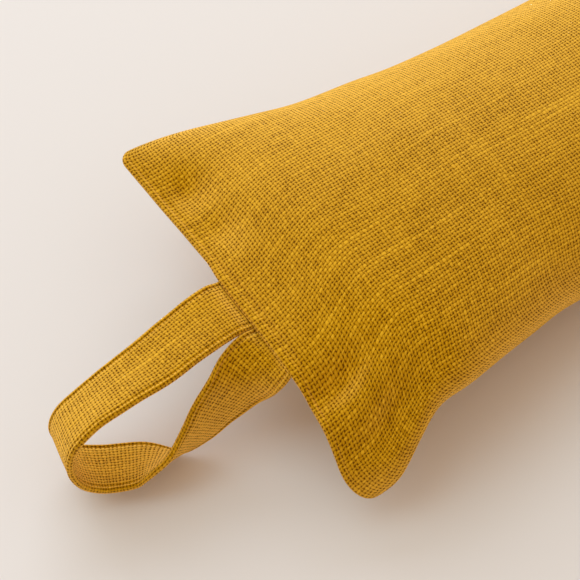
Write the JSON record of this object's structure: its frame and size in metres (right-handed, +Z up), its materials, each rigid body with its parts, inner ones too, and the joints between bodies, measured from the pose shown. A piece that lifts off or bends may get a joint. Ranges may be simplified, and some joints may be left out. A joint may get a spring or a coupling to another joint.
{
  "type": "draught excluder",
  "caption": "Long filled draught excluder in coarse plain-weave cloth, pinched flat at both end seams, with a folded strap loop at one end.",
  "frame": {"origin": "bottom centre of the bounding box, on the surface it lies on", "axes": "+X along the length from the strap end to the far end, +Y to the left of that, +Z up"},
  "size_m": [0.979, 0.199, 0.0832],
  "materials": {
    "cloth": "coarse slubby plain weave, matt mustard"
  },
  "bodies": {
    "root": {"cover": "cloth", "handle_strap": "cloth"}
  },
  "joints": []
}
